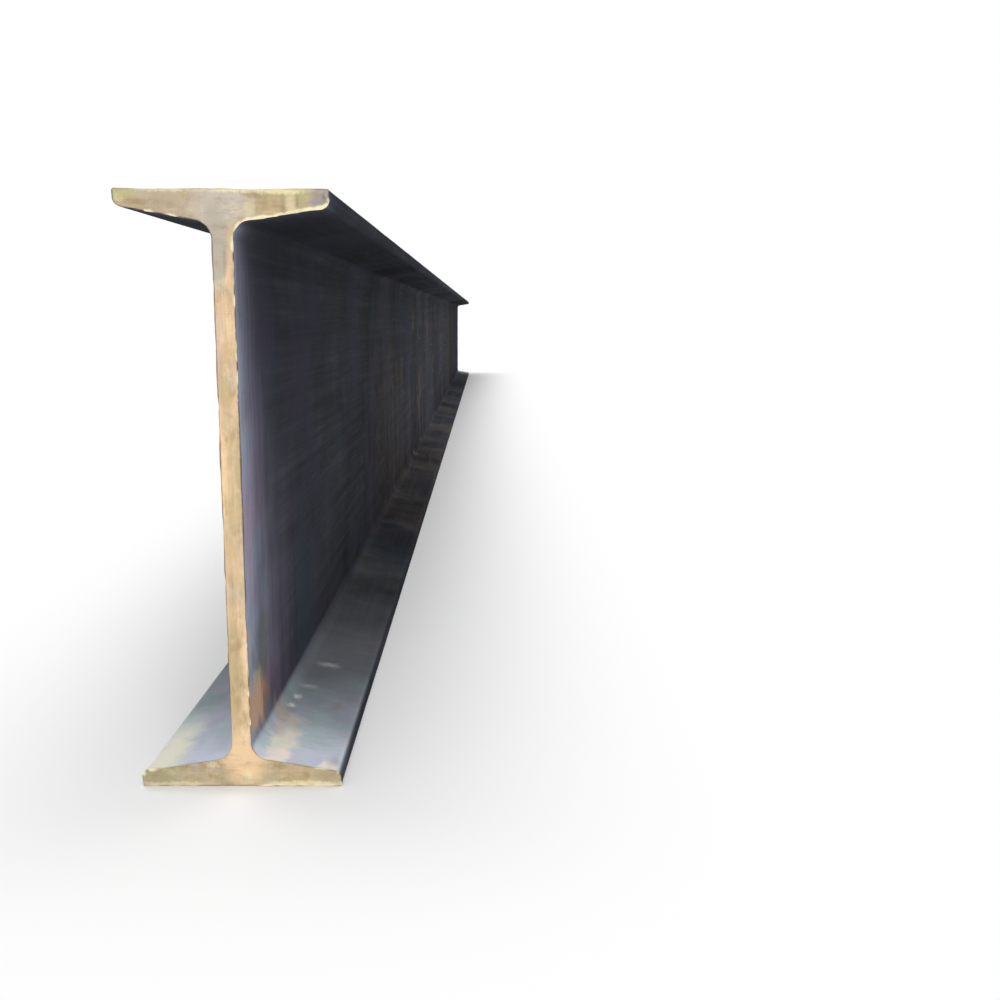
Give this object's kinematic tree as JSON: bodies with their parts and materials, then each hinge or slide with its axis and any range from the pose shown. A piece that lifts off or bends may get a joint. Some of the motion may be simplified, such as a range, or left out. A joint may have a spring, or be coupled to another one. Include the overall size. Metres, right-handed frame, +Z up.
{
  "type": "steel i-beam",
  "caption": "Hot-rolled steel I-beam with tapered flanges and rounded roots, a straight length of structural stock cut square at both ends for carrying floors, roofs and frames.",
  "frame": {"origin": "on the underside of the bottom flange, in the middle of its width and of the beam's length", "axes": "+Y along the beam, +X across the flanges, +Z up along the web from the bottom flange to the top flange"},
  "size_m": [0.154, 6, 0.45],
  "materials": {
    "mill_scale_steel": "matte"
  },
  "bodies": {
    "root": {"i_beam": "mill_scale_steel"}
  },
  "joints": []
}
